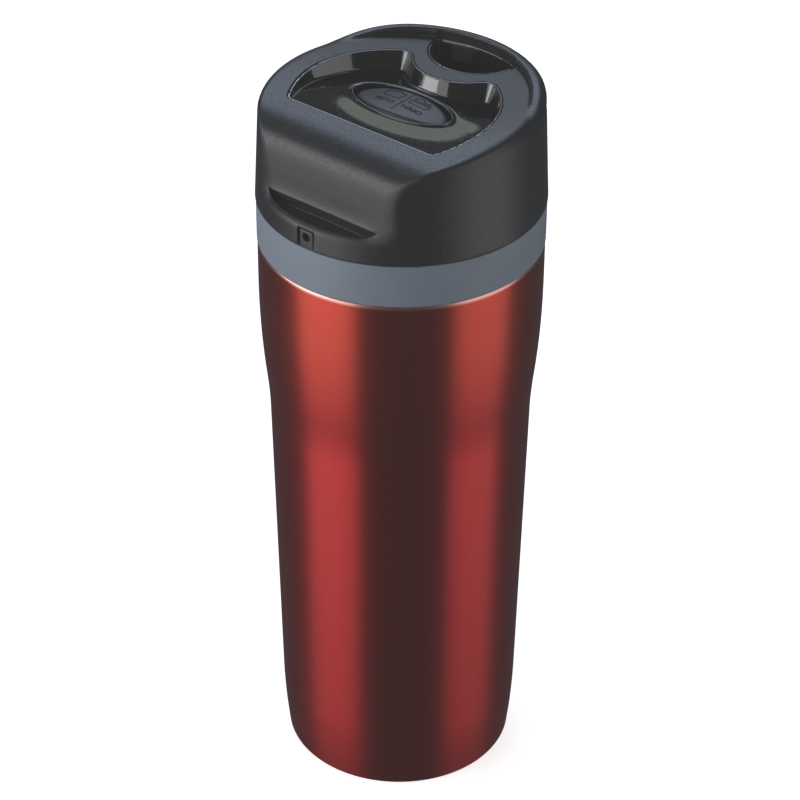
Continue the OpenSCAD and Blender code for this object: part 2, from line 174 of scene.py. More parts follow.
# catch
CATCH_W = 4.6
CATCH_TOP = 174.4
CATCH_BACK_R = 34.4
CATCH_SUNK = 0.5
CATCH_GAP = 0.3
CATCH_SLOT_EDGE = 0.15
CATCH_EDGE = 0.5
CATCH_TOP_EDGE = 0.6
CATCH_FOOT_EDGE = 0.3
CATCH_LIFT = 0.1
CATCH_HOLE_Z = 172.5
CATCH_HOLE_R = 1.1
CATCH_HOLE_WEB = 0.6
CATCH_HOLE_EDGE = 0.2

# recess and spout
RECESS_A = 26.6
RECESS_B = 25.6
RECESS_Y = -3.2
CHORD_Y = 16.3
CHORD_R = 0.5
BUMP_Y = 25.5
BUMP_R = 14.0
CORNER_R = 3.0
WINDOW_Z = 189
WALL_DRAFT = 0.42
WALL_FOOT = 0.6
SEAM = 0.5
SPOUT_Y = 30.2
SPOUT_R = 12.3
SPOUT_CORNER = 0.8
SPOUT_DRAFT = 0.3
SPOUT_DRAFT_H = 5.0

# deck
DECK_T = 1.4
DECK_EDGE = 0.15
DECK_GAP = 0.1
LAP = 0.05
RIM_SUNK = 0.3
OVERCUT = 1
FLOOR_MID_Z = 193.6
FLOOR_CHORD_Z = 194.75
DECK_FALL = (FLOOR_CHORD_Z - FLOOR_MID_Z) / CHORD_Y
MOUND_H = 0.5
MOUND_W = 4.2
TRENCH = 0.4
TRENCH_W = 0.7
DUCT_T = 1.2
SKIRT_Z = 184.0
SKIRT_R = 33.0
SKIRT_Y = 21.5
SKIRT_HALF_T = 0.7
WELL_FLOOR_Z = 187.2
WELL_T = 0.6
HOUSING_Z = 165.0
HOUSING_R = 7.8
HOUSING_BORE_R = 6.6
HOUSING_FLOOR_T = 1.2
HOUSING_LAP = 0.5
STEM_HOLE_R = 3.0

# button and its ring
RING_L = 29.9
RING_W = 14.2
RING_FOOT_Z = 188.0
RING_BEAD_Z = 194.25
RING_BEAD_R = 0.28
BUTTON_L = 28.2
BUTTON_W = 12.6
BUTTON_Z = 194.95
BUTTON_BASE_Z = 191.3
BUTTON_PILLOW = 1.5
BUTTON_PILLOW_H = 0.75
BUTTON_PILLOW_ANGLE = 84
BUTTON_PILLOW_RINGS = 12
BUTTON_FACE_RINGS = 16
BUTTON_BORE = 2.4
BUTTON_DRAFT = 0.1
CROWN_X = 0.0085
CROWN_Y = 0.004

# latch spring
SPRING_R = 4.2
SPRING_WIRE_R = 0.4
SPRING_TURNS = 5
SPRING_TURN_STEPS = 48
SPRING_WIRE_SIDES = 10

# marks
MARK_H = 1.5
MARK_W = 0.3
MARK_PROUD = 0.02
MARK_DEPTH = 0.1
MARK_STEP = 0.5
WORD_BOLD = 0.03
WORD_T = 0.05

# materials: the usual range of a noise's values, and the noises of moulded plastic
NOISE_LOW = 0.3
NOISE_HIGH = 0.7
CLOUD_SCALE = 140.0
CLOUD_DETAIL = 2.0
ROUGH_SPREAD = 0.05


# ---- mesh making -------------------------------------------------------------


def mesh_object(name, points, faces, normals=None):
    """A smooth mesh object from points in millimetres."""
    mesh = bpy.data.meshes.new(name)
    mesh.from_pydata((np.asarray(points) * MM).tolist(), [], [tuple(f) for f in faces])
    mesh.update()
    mesh.shade_smooth()
    if normals is not None:
        mesh.normals_split_custom_set_from_vertices([tuple(n) for n in normals])
    obj = bpy.data.objects.new(name, mesh)
    bpy.context.scene.collection.objects.link(obj)
    return obj


def finish_piece(obj, body, slot, material, *nodes):
    """Puts a new piece on its body, with its material, in place of its CAD nodes; its slot is not used.
    """
    obj.data.materials.clear()
    obj.data.materials.append(material)
    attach(obj, body)
    if nodes:
        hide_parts(*nodes)


def ring_faces(rings, sides):
    """Quads between closed rings of points, with the last ring joined to the first."""
    i = np.repeat(np.arange(rings), sides)
    j = np.tile(np.arange(sides), rings)
    k = (j + 1) % sides
    n = (i + 1) % rings
    return np.stack([i * sides + j, i * sides + k, n * sides + k, n * sides + j], axis=1)


def arc(cx, cz, radius, a0, a1, steps):
    """Points of an arc, from angle a0 to a1 in degrees."""
    angles = np.radians(np.linspace(a0, a1, steps + 1))
    return [(cx + radius * math.cos(a), cz + radius * math.sin(a)) for a in angles]


def lathe(name, profile):
    """A closed profile of (radius, height) turned about the Z axis."""
    angle = np.linspace(0, 2 * math.pi, LATHE_SIDES, endpoint=False)
    profile = np.array(profile, float)
    r = profile[:, :1]
    z = np.repeat(profile[:, 1:], LATHE_SIDES, axis=1)
    points = np.stack([r * np.cos(angle), r * np.sin(angle), z], axis=-1).reshape(-1, 3)
    obj = mesh_object(name, points, ring_faces(len(profile), LATHE_SIDES))
    obj.data.set_sharp_from_angle(angle=math.radians(CREASE_ANGLE))
    return obj


def oval_ring(length, width, grow):
    """Points of an ellipse moved outward by grow."""
    t = np.linspace(0, 2 * math.pi, OVAL_SIDES, endpoint=False)
    normal = np.stack([np.cos(t) / length, np.sin(t) / width], axis=1)
    normal /= np.linalg.norm(normal, axis=1, keepdims=True)
    base = np.stack([length / 2 * np.cos(t), width / 2 * np.sin(t)], axis=1)
    return base + grow * normal


# ---- signed distances and their surface --------------------------------------


def round_and(a, b, radius):
    """What is in both shapes, with a rounded outer edge."""
    u = np.maximum(radius + a, 0)
    v = np.maximum(radius + b, 0)
    return np.minimum(-radius, np.maximum(a, b)) + np.hypot(u, v)


def round_or(a, b, radius):
    """What is in either shape, with a rounded inner corner."""
    return -round_and(-a, -b, radius)


def surface_cells(value, grid):
    """Points near the zero surface, one per crossed cell, and the quads between them."""
    inside = value < 0
    counts = np.zeros([n - 1 for n in value.shape], np.int8)
    for i in (0, 1):
        for j in (0, 1):
            for k in (0, 1):
                counts += inside[i : i - 1 or None, j : j - 1 or None, k : k - 1 or None]
    crossed = (counts > 0) & (counts < 8)
    index = np.full(counts.shape, -1)
    index[crossed] = np.arange(crossed.sum())
    cells = np.argwhere(crossed)
    total = np.zeros((len(cells), 3))
    hits = np.zeros(len(cells))
    for axis in range(3):
        others = [a for a in range(3) if a != axis]
        for i in (0, 1):
            for j in (0, 1):
                start = cells.copy()
                start[:, others[0]] += i
                start[:, others[1]] += j
                end = start.copy()
                end[:, axis] += 1
                va = value[tuple(start.T)]
                vb = value[tuple(end.T)]
                cut = (va < 0) != (vb < 0)
                share = np.where(cut, va / np.where(cut, va - vb, 1), 0)[:, None]
                pa = np.stack([grid[a][start[:, a]] for a in range(3)], axis=1)
                pb = np.stack([grid[a][end[:, a]] for a in range(3)], axis=1)
                total += np.where(cut[:, None], pa + share * (pb - pa), 0)
                hits += cut
    return total / hits[:, None], cell_quads(inside, index)


def cell_quads(inside, index):
    """Quads around each grid edge that the surface crosses."""
    quads = []
    for axis in range(3):
        u = (axis + 1) % 3
        v = (axis + 2) % 3
        low = [slice(None)] * 3
        high = [slice(None)] * 3
        low[axis] = slice(0, -1)
        high[axis] = slice(1, None)
        first = inside[tuple(low)]
        edges = np.argwhere(first != inside[tuple(high)])
        keep = (edges[:, u] > 0) & (edges[:, v] > 0)
        keep &= (edges[:, u] < index.shape[u]) & (edges[:, v] < index.shape[v])
        edges = edges[keep]
        outward = first[tuple(edges.T)]
        corners = []
        for du, dv in ((0, 0), (1, 0), (1, 1), (0, 1)):
            cell = edges.copy()
            cell[:, u] -= du
            cell[:, v] -= dv
            corners.append(index[tuple(cell.T)])
        quad = np.stack(corners, axis=1)
        quads.append(np.where(outward[:, None], quad, quad[:, ::-1]))
    return np.concatenate(quads)


def gradient(field, points, step=0.02):
    """The field's slope at each point."""
    slope = np.empty_like(points)
    for axis in range(3):
        shift = np.zeros(3)
        shift[axis] = step
        ahead = field(*(points + shift).T)
        behind = field(*(points - shift).T)
        slope[:, axis] = (ahead - behind) / (2 * step)
    return slope


def shape_object(name, field, grid):
    """A mesh of a signed distance field, with its points moved onto the surface."""
    x, y, z = np.meshgrid(*grid, indexing="ij", sparse=True)
    value = np.broadcast_to(field(x, y, z), [len(g) for g in grid])
    points, quads = surface_cells(value, grid)
    for _ in range(SNAP_STEPS):
        slope = gradient(field, points)
        size = np.maximum((slope**2).sum(axis=1), LEAST_SLOPE)
        step = np.clip(field(*points.T) / size, -SNAP_LIMIT, SNAP_LIMIT)
        points = points - step[:, None] * slope
    slope = gradient(field, points)
    normals = slope / np.maximum(np.linalg.norm(slope, axis=1, keepdims=True), LEAST_NORMAL)
    return mesh_object(name, points, quads, normals)


def levels(*spans):
    """Grid lines: each span is (from, to, step), and they follow each other."""
    parts = [np.arange(a, b - step / 2, step) for a, b, step in spans]
    return np.concatenate(parts + [[spans[-1][1]]])


# ---- lid shapes --------------------------------------------------------------

LID_SLOPE = (LID_R - LID_TOP_R) / (TOP_Z - LID_FILLET - LID_Z)
CROWN_SLOPE = math.asin((FLAT_Y - FLAT_END_Y) / CROWN_R)
ROLL_Y = FLAT_Y - (CROWN_R - ROLL_R) * math.sin(CROWN_SLOPE)
ROLL_Z = TOP_Z - CROWN_R + (CROWN_R - ROLL_R) * math.cos(CROWN_SLOPE)


def side_view(y, z):
    """Distance to the lid's side view: flat top, gentle crown, roll and upright face."""
    crown_y = y - FLAT_Y
    crown_z = z - (TOP_Z - CROWN_R)
    turn = np.arctan2(-crown_y, crown_z)
    crown = np.hypot(crown_y, crown_z) - CROWN_R
    roll = np.hypot(y - ROLL_Y, z - ROLL_Z) - ROLL_R
    curve = np.where(y > FLAT_Y, z - TOP_Z, np.where(turn < CROWN_SLOPE, crown, roll))
    return round_and(curve, -y - SCOOP_Y, SCOOP_R)


def top_height(y):
    """Height of the lid's top face over y."""
    back = np.maximum(FLAT_Y - y, 0)
    return TOP_Z - back**2 / (2 * CROWN_R)


def recess_outline(x, y):
    """Distance to the recess's edge, seen from above."""
    ex = x / RECESS_A
    ey = (y - RECESS_Y) / RECESS_B
    size = np.maximum(np.hypot(ex, ey), TINY)
    slope = np.hypot(ex / RECESS_A, ey / RECESS_B) / size
    oval = (size - 1) / np.maximum(slope, TINY)
    bump = BUMP_R - np.hypot(x, y - BUMP_Y)
    return round_and(round_and(oval, bump, CORNER_R), -y - CHORD_Y, CHORD_R)


def spout_outline(x, y):
    """Distance to the lens-shaped spout hole, seen from above."""
    return round_and(np.hypot(x, y - SPOUT_Y) - SPOUT_R, np.hypot(x, y) - LIP_R, SPOUT_CORNER)


def oval_distance(x, y, length, width):
    """Rough distance to an ellipse."""
    ex = 2 * x / length
    ey = 2 * y / width
    size = np.maximum(np.hypot(ex, ey), TINY)
    slope = np.hypot(2 * ex / length, 2 * ey / width) / size
    return (size - 1) / np.maximum(slope, TINY)


def lip_rise(y):
    """Height of the drinking lip above the flat top; its ends sink into the cover."""
    share = np.clip((y - LIP_END_Y) / (LIP_FULL_Y - LIP_END_Y), 0, 1)
    return (LIP_Z - TOP_Z + LIP_SUNK) * (1 - np.cos(math.pi * share)) / 2 - LIP_SUNK


def cavity(x, y, z, clear):
    """The space inside the cover, less a clearance."""
    inner = LID_R - HOOP_T - clear - np.maximum(z - CAVITY_Z, 0) * CAVITY_LEAN
    drum = np.maximum(np.hypot(x, y) - inner, z - TOP_Z + COVER_T + clear)
    roof = side_view(y, z) + COVER_T + clear
    below = CAVITY_Z - clear - z
    return round_and(drum, np.minimum(roof, -below), CAVITY_CORNER)


def edge_radius(z):
    """Rounding of the scoop's edges: crisp near the top, softer lower down."""
    return SCOOP_EDGE + SCOOP_EDGE_GROWTH * np.clip(SCOOP_EDGE_Z - z, 0, SCOOP_EDGE_FALL)


def lip_field(y, z, r, wall):
    """The raised drinking lip, which fades into the cover towards its ends."""
    lip = round_and(wall, z - TOP_Z - lip_rise(y), LIP_FILLET)
    lip = round_and(lip, LIP_R - r, LIP_INNER_R)
    lip = np.maximum(lip, TOP_Z - COVER_T - z)
    return np.maximum(lip, LIP_END_Y - y)


def pocket_field(y, z, r):
    """The shallow pocket at the foot of the thumb scoop."""
    pocket = round_and(r - POCKET_R, POCKET_Z - z, POCKET_CORNER)
    pocket = round_and(pocket, y + POCKET_Y, POCKET_BACK)
    return np.maximum(pocket, z - SCOOP_Z)


def cover_field(x, y, z):
    """The lid's outer cover."""
    r = np.hypot(x, y)
    wall = r - (LID_R - (z - LID_Z) * LID_SLOPE)
    body = round_and(wall, z - TOP_Z, LID_FILLET)
    scoop = round_or(side_view(y, z), z - HOOP_Z, SCOOP_FLARE)
    outer = round_and(body, scoop, edge_radius(z))
    outer = round_and(outer, LID_Z - z, LID_FOOT_R)
    outer = round_or(outer, lip_field(y, z, r, wall), LIP_ROOT_R)
    outer = round_and(outer, -pocket_field(y, z, r), POCKET_EDGE)
    slot = np.maximum(np.abs(x) - CATCH_W / 2 - CATCH_GAP, z - CATCH_TOP - CATCH_GAP)
    slot = np.maximum(slot, y + CATCH_BACK_R)
    outer = round_and(outer, -slot, CATCH_SLOT_EDGE)
    for outline in (recess_outline, spout_outline):
        hole = np.maximum(outline(x, y) - SEAM, WINDOW_Z - z)
        outer = round_and(outer, -hole, COVER_EDGE)
    return np.maximum(outer, -cavity(x, y, z, 0))


def floor_height(x, y):
    """Height of the tray's floor, with a soft mound around the button's ring."""
    plane = FLOOR_MID_Z - DECK_FALL * y
    gap = np.maximum(oval_distance(x, y, RING_L, RING_W), 0)
    rise = np.where(y > 0, MOUND_H + FLOOR_MID_Z - plane, MOUND_H)
    return plane + rise * np.exp(-((gap / MOUND_W) ** 2)) - trench(gap)


def trench(gap):
    """Depth of the narrow groove around the button's ring."""
    return TRENCH * np.exp(-((gap / TRENCH_W) ** 2))


def well_outline(x, y):
    """Distance to the button well's outline, seen from above."""
    return oval_distance(x, y, RING_L - WELL_T, RING_W - WELL_T)


def tray_field(x, y, z):
    """The hollow of the tray, with its leaning wall."""
    wall = recess_outline(x, y) + (top_height(y) - z) * WALL_DRAFT
    return round_and(wall, floor_height(x, y) - z, WALL_FOOT)


def skirt_outline(x, y):
    """Distance to the drink chamber's outline, seen from above."""
    return np.maximum(np.hypot(x, y) - SKIRT_R, -y - SKIRT_Y)


def deck_solid(x, y, z):
    """The deck before its hollows: plate, skirt, tray and duct walls, button well and latch housing."""
    outline = recess_outline(x, y)
    spout = spout_outline(x, y)
    chamber = skirt_outline(x, y)
    roof = cavity(x, y, z, DECK_GAP)
    plate = np.maximum(np.maximum(chamber, roof), -cavity(x, y, z, DECK_T))
    skirt = np.maximum(np.abs(chamber + SKIRT_HALF_T) - SKIRT_HALF_T, np.maximum(SKIRT_Z - z, roof))
    under = np.maximum(tray_field(x, y, z) - DECK_T, outline - SEAM + LAP)
    under = np.maximum(under, z - top_height(y) + RIM_SUNK)
    tube = np.maximum(spout - SEAM + LAP, z - TOP_Z + RIM_SUNK)
    tube = np.minimum(tube, np.maximum(spout - DUCT_T, z - TOP_Z + COVER_T + DECK_GAP))
    tube = np.maximum(tube, SKIRT_Z - z)
    cup = np.maximum(WELL_FLOOR_Z - DECK_T - z, z - FLOOR_MID_Z)
    cup = np.maximum(well_outline(x, y) - WELL_T, cup)
    housing = np.maximum(HOUSING_Z - z, z - WELL_FLOOR_Z + HOUSING_LAP)
    housing = np.maximum(np.hypot(x, y) - HOUSING_R, housing)
    solid = np.minimum(np.minimum(plate, skirt), np.minimum(under, tube))
    return np.minimum(solid, np.minimum(cup, housing))


def deck_air(x, y, z):
    """The deck's hollows: tray, spout duct, button well, and the latch's bore with its stem hole."""
    r = np.hypot(x, y)
    duct = spout_outline(x, y) + SPOUT_DRAFT * np.clip(TOP_Z - z, 0, SPOUT_DRAFT_H)
    air = np.minimum(tray_field(x, y, z), np.maximum(duct, SKIRT_Z - OVERCUT - z))
    air = np.minimum(air, np.maximum(well_outline(x, y), WELL_FLOOR_Z - z))
    bore = np.maximum(HOUSING_Z + HOUSING_FLOOR_T - z, z - WELL_FLOOR_Z - OVERCUT)
    bore = np.maximum(r - HOUSING_BORE_R, bore)
    stem_hole = np.maximum(r - STEM_HOLE_R, z - HOUSING_Z - 2 * OVERCUT)
    return np.minimum(air, np.minimum(bore, stem_hole))


def deck_field(x, y, z):
    """The glossy deck."""
    return round_and(deck_solid(x, y, z), -deck_air(x, y, z), DECK_EDGE)


def catch_field(x, y, z):
    """The small catch at the lid's edge, with its round hole."""
    r = np.hypot(x, y)
    tab = round_and(r - (LID_R - CATCH_SUNK), np.abs(x) - CATCH_W / 2, CATCH_EDGE)
    tab = round_and(tab, z - CATCH_TOP, CATCH_TOP_EDGE)
    tab = round_and(tab, LID_Z + CATCH_LIFT - z, CATCH_FOOT_EDGE)
    tab = np.maximum(np.maximum(tab, CATCH_BACK_R - r), y)
    hole = np.hypot(x, z - CATCH_HOLE_Z) - CATCH_HOLE_R
    hole = np.maximum(hole, CATCH_BACK_R + CATCH_HOLE_WEB - r)
    return round_and(tab, -hole, CATCH_HOLE_EDGE)


# ---- pieces ------------------------------------------------------------------


def sharp_radius(z):
    """Outer radius of the steel body at height z, with a plain bend at the waist."""
    if z < WAIST_Z:
        tuck = FOOT_TUCK * ((FOOT_H - z) / FOOT_H) ** 2 if z < FOOT_H else 0
        return WAIST_R - (WAIST_Z - z) * TAPER - tuck
    rise = (BODY_R - WAIST_R) / (SHOULDER_Z - WAIST_Z) ** 2
    drop = rise * (SHOULDER_Z - z) ** 2 if z < SHOULDER_Z else 0
    return BODY_R - drop


def wall_radius(z):
    """Outer radius of the steel body at height z, with the bend at the waist eased."""
    if z < FOOT_H + BEND_H:
        return sharp_radius(z)
    window = np.linspace(-BEND_H, BEND_H, BEND_SAMPLES)
    return sum(sharp_radius(z + t) for t in window) / len(window)


def body_profile():
    """The steel body's closed profile, with its neck and its foot ring."""
    foot_r = wall_radius(FOOT_FILLET) - FOOT_FILLET
    heights = list(np.linspace(FOOT_FILLET, FOOT_H, FOOT_RINGS))
    heights += list(np.linspace(WALL_LOW_Z, WALL_HIGH_Z, WALL_RINGS))
    heights += list(np.linspace(BEND_LOW_Z, SHOULDER_Z + BEND_H, WAIST_RINGS))
    outside = [(wall_radius(z), z) for z in heights]
    inside = [(r - STEEL_T, z) for r, z in reversed(outside)]
    neck = NECK_OUT_R - STEEL_T
    return (
        [(FOOT_RING_R, 0)]
        + arc(foot_r, FOOT_FILLET, FOOT_FILLET, -90, -9, 8)
        + outside
        + arc(BODY_R - RIM_FILLET, BODY_H - RIM_FILLET, RIM_FILLET, 0, 90, 8)
        + [(NECK_OUT_R, BODY_H), (NECK_OUT_R, BODY_H + NECK_H)]
        + [(neck, BODY_H + NECK_H), (neck, BODY_H - STEEL_T), (BODY_R - STEEL_T, BODY_H - STEEL_T)]
        + inside
        + [(foot_r, STEEL_T), (FOOT_RING_R, STEEL_T)]
    )


def collar_profile():
    """The plastic collar's closed profile."""
    edge = COLLAR_EDGE
    low = BODY_H + COLLAR_GAP
    under = COLLAR_TOP - COLLAR_T
    inner_r = NECK_OUT_R + 2 * COLLAR_GAP
    mouth_r = NECK_IN_R + COLLAR_STEP
    return (
        [(inner_r, low)]
        + arc(COLLAR_R - edge, low + edge, edge, -90, 0, 6)
        + arc(COLLAR_R - edge, COLLAR_TOP - edge, edge, 0, 90, 6)
        + arc(mouth_r + edge, COLLAR_TOP - edge, edge, 90, 180, 6)
        + [(mouth_r, under), (inner_r, under)]
    )


def loft(name, rings):
    """A closed skin over rings of points that all have the same count."""
    sides = len(rings[0])
    return mesh_object(name, np.concatenate(rings), ring_faces(len(rings), sides))


def level_ring(flat, z):
    """A flat ring of points at height z."""
    return np.column_stack([flat, np.full(len(flat), z)])


def well_ring(material):
    """The bright thin ring around the button."""
    profile = [(-0.3, RING_FOOT_Z), (-0.3, 193.9)]
    profile += arc(0, RING_BEAD_Z, RING_BEAD_R, 175, 20, 8)
    profile += [(0.55, 194.1), (0.95, 194.0), (1.25, 193.6), (0.5, 193.2), (0.4, RING_FOOT_Z)]
    rings = [level_ring(oval_ring(RING_L, RING_W, g), z) for g, z in profile]
    finish_piece(loft("well_ring", rings), "lid", "gloss_black", material)


def button_height(x, y):
    """Height of the button's crowned face."""
    return BUTTON_Z - CROWN_X * x**2 - CROWN_Y * y**2


def button_top(material):
    """The oval push button, with its pillow edge and crowned face."""
    rings = []
    for inset in (BUTTON_BORE, BUTTON_DRAFT):
        rings.append(level_ring(oval_ring(BUTTON_L, BUTTON_W, -inset), BUTTON_BASE_Z))
    for angle in np.radians(np.linspace(0, BUTTON_PILLOW_ANGLE, BUTTON_PILLOW_RINGS)):
        flat = oval_ring(BUTTON_L, BUTTON_W, -BUTTON_PILLOW * (1 - math.cos(angle)))
        sunk = BUTTON_PILLOW * BUTTON_PILLOW_H * (1 - math.sin(angle))
        rings.append(np.column_stack([flat, button_height(*flat.T) - sunk]))
    edge = oval_ring(BUTTON_L, BUTTON_W, -BUTTON_PILLOW)
    for share in np.linspace(0.97, 0.02, BUTTON_FACE_RINGS):
        flat = edge * share
        rings.append(np.column_stack([flat, button_height(*flat.T)]))
    centre = rings[-1].copy()
    centre[:, 2] = BUTTON_BASE_Z
    rings.append(centre)
    finish_piece(loft("button_top", rings), "button", "button_black", material, "button_cap")


def spring_coil(material):
    """The latch's return spring, wound from its foot up to the top of its CAD node."""
    low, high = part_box("button_spring")
    foot = low[2] / MM
    height = (high[2] - low[2]) / MM
    sides = SPRING_WIRE_SIDES
    steps = SPRING_TURN_STEPS * SPRING_TURNS
    share = np.repeat(np.linspace(0, 1, steps + 1), sides)
    turn = 2 * math.pi * SPRING_TURNS * share
    wire = np.tile(np.linspace(0, 2 * math.pi, sides, endpoint=False), steps + 1)
    r = SPRING_R + SPRING_WIRE_R * np.cos(wire)
    rise = (height - 2 * SPRING_WIRE_R) * share
    z = foot + SPRING_WIRE_R * (1 + np.sin(wire)) + rise
    points = np.column_stack([r * np.cos(turn), r * np.sin(turn), z])
    faces = ring_faces(steps + 1, sides)[:-sides, ::-1].tolist()
    faces.append(range(sides))
    faces.append(reversed(range(steps * sides, (steps + 1) * sides)))
    obj = mesh_object("spring_coil", points, faces)
    finish_piece(obj, "lid", "spring_steel", material, "button_spring")
    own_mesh(obj)


# ---- marks on the button -----------------------------------------------------


def laid_mark(obj, material):
    """Lays flat marks on the button's face, just proud of it, and gives them a little depth."""
    mesh = obj.data
    for v in mesh.vertices:
        lift = MARK_PROUD if v.co.z > 0 else -MARK_DEPTH
        v.co.z = (button_height(v.co.x / MM, v.co.y / MM) + lift) * MM
    finish_piece(obj, "button", "button_black", material)


def word(name, text, x, y, length, material):
    """A word cut from the built-in font, centred on x and y, and read from the spout's side."""
    curve = bpy.data.curves.new(name, "FONT")
    curve.body = text
    curve.align_x = "CENTER"
    curve.align_y = "CENTER"
    curve.extrude = WORD_T
    curve.offset = WORD_BOLD
    holder = bpy.data.objects.new(name + "_curve", curve)
    bpy.context.scene.collection.objects.link(holder)
    bpy.context.view_layer.update()
    depsgraph = bpy.context.evaluated_depsgraph_get()
    mesh = bpy.data.meshes.new_from_object(holder.evaluated_get(depsgraph))
    bpy.data.objects.remove(holder)
    bpy.data.curves.remove(curve)
    spot = np.array([v.co[:] for v in mesh.vertices])
    scale = np.array([length, MARK_H]) / np.ptp(spot[:, :2], axis=0)
    for v in mesh.vertices:
        v.co = ((x - v.co.x * scale[0]) * MM, (y - v.co.y * scale[1]) * MM, v.co.z)
    obj = bpy.data.objects.new(name, mesh)
    bpy.context.scene.collection.objects.link(obj)
    laid_mark(obj, material)


def stroke_mark(name, lines, material):
    """Engraved lines: each is a list of points joined by straight bars."""
    points = []
    faces = []
    for line in lines:
        for (ax, ay), (bx, by) in zip(line, line[1:]):
            along = np.array([bx - ax, by - ay], float)
            length = np.linalg.norm(along)
            along /= length
            across = np.array([-along[1], along[0]]) * MARK_W / 2
            start = np.array([ax, ay]) - along * MARK_W / 2
            steps = max(2, int(length / MARK_STEP))
            base = len(points)
            for i in range(steps + 1):
                mid = start + along * (length + MARK_W) * i / steps
                for side in (-1, 1):
                    for z in (-1, 1):
                        points.append([*(mid + across * side), z])
            for i in range(steps):
                a = base + 4 * i
                faces += [(a, a + 1, a + 5, a + 4), (a + 2, a + 6, a + 7, a + 3)]
                faces += [(a + 1, a + 3, a + 7, a + 5), (a, a + 4, a + 6, a + 2)]
            end = base + 4 * steps
            faces += [(base, base + 2, base + 3, base + 1), (end, end + 1, end + 3, end + 2)]
    laid_mark(mesh_object(name, points, faces), material)


def button_marks(material):
    """Generic open and close marks."""
    stroke_mark("mark_divider", [[(0, -4.4), (0, 4.8)]], material)
    word("mark_close", "CLOSE", -4.5, -1.25, 5.7, material)
    word("mark_open", "OPEN", 4.15, -1.3, 6.2, material)
    tub = [(-6.6, 0.9), (-1.8, 0.9), (-1.5, 3.5), (-2.6, 3.5)]
    tub += [(-3.3, 4.1), (-5.1, 4.1), (-5.8, 3.5), (-6.9, 3.5)]
    stroke_mark("mark_shut_cup", [tub + [tub[0]]], material)
    cup = [(1.4, 0.9), (6.7, 0.9), (7.0, 2.3), (1.1, 2.3)]
    cover = [(1.5, 2.9), (6.6, 2.9), (6.2, 3.7), (4.6, 3.4), (3.4, 4.4), (2.0, 4.1)]
    stroke_mark("mark_open_cup", [cup + [cup[0]], cover + [cover[0]]], material)


# ---- materials ---------------------------------------------------------------


class Paint:
    """A node material around one Principled shader."""

    def __init__(self, name):
        self.material = bpy.data.materials.new(name)
        self.material.use_nodes = True
        self.nodes = self.material.node_tree.nodes
        self.links = self.material.node_tree.links
        self.shader = self.nodes["Principled BSDF"]
        self.place = self.add("ShaderNodeTexCoord").outputs["Object"]

    def add(self, kind, **settings):
        """A new node with its settings."""
        node = self.nodes.new(kind)
        for key, value in settings.items():
            setattr(node, key, value)
        return node

    def set(self, **values):
        """Sets the shader's sockets, named with _ for a space."""
        for key, value in values.items():
            self.shader.inputs[key.replace("_", " ")].default_value = value

    def stretched(self, scale):
        """The object's coordinates, scaled along each axis."""
        node = self.add("ShaderNodeMapping")
        node.inputs["Scale"].default_value = scale
        self.links.new(self.place, node.inputs["Vector"])
        return node.outputs["Vector"]

    def noise(self, vector, scale, detail=3.0):
        """A soft noise over the surface."""
        node = self.add("ShaderNodeTexNoise")
        node.inputs["Scale"].default_value = scale
        node.inputs["Detail"].default_value = detail
        self.links.new(vector, node.inputs["Vector"])
        return node.outputs["Fac"]

    def spread(self, value, low, high, start=NOISE_LOW, end=NOISE_HIGH):
        """Maps start to end, by default a noise's usual range, onto low to high."""
        node = self.add("ShaderNodeMapRange")
        node.inputs["From Min"].default_value = start
        node.inputs["From Max"].default_value = end
        node.inputs["To Min"].default_value = low
        node.inputs["To Max"].default_value = high
        self.links.new(value, node.inputs["Value"])
        return node.outputs["Result"]

    def ramp(self, value, *stops):
        """A colour that follows the stops, each a position and a colour."""
        node = self.add("ShaderNodeValToRGB")
        elements = node.color_ramp.elements
        while len(elements) < len(stops):
            elements.new(1.0)
        for element, (position, colour) in zip(elements, stops):
            element.position = position
            element.color = (*colour, 1)
        self.links.new(value, node.inputs["Fac"])
        return node.outputs["Color"]

    def tint(self, value, dark, light):
        """A colour between dark and light, as a noise says."""
        return self.ramp(value, (NOISE_LOW, dark), (NOISE_HIGH, light))

    def bump(self, value, depth):
        """Fine relief, with its depth in millimetres."""
        node = self.add("ShaderNodeBump")
        node.inputs["Distance"].default_value = depth * MM
        node.inputs["Strength"].default_value = 1.0
        self.links.new(value, node.inputs["Height"])
        self.links.new(node.outputs["Normal"], self.shader.inputs["Normal"])

    def feed(self, socket, value):
        """Joins a value to one of the shader's sockets."""
        self.links.new(value, self.shader.inputs[socket])

    def brushed(self, around, along):
        """Turns the highlight with brushing round the Z axis, and gives the brushing's streaks."""
        tangent = self.add("ShaderNodeTangent", direction_type="RADIAL", axis="Z")
        self.feed("Tangent", tangent.outputs["Tangent"])
        return self.noise(self.stretched((around, around, along)), 1.0)


def red_lacquer():
    """Translucent red lacquer over steel brushed round the body, with a painted sheen that lightens it
    towards the shoulder.
    """
    paint = Paint("red_lacquer")
    paint.set(Metallic=1.0, Roughness=0.3, Anisotropic=0.55, Anisotropic_Rotation=0.25)
    paint.set(Coat_Weight=0.08, Coat_Roughness=0.2)
    streaks = paint.brushed(18, 6500)
    split = paint.add("ShaderNodeSeparateXYZ")
    paint.links.new(paint.place, split.inputs["Vector"])
    high = paint.spread(split.outputs["Z"], 0, 1, 0, BODY_H * MM)
    # painted sheen: the lacquer turns lighter and more orange from the waist up to the shoulder, where
    # the upper body catches more light
    low = (0.4, 0.023, 0.023)
    top = (0.42, 0.044, 0.026)
    rim = (0.85, 0.5, 0.45)
    rim_start = 1 - RIM_FILLET / BODY_H
    stops = [(WAIST_Z / BODY_H, low), (SHOULDER_Z / BODY_H, top)]
    stops += [(rim_start, top), (rim_start + 0.002, rim)]
    paint.feed("Base Color", paint.ramp(high, *stops))
    paint.feed("Roughness", paint.spread(streaks, 0.32, 0.37))
    paint.bump(streaks, 0.0012)
    return paint.material


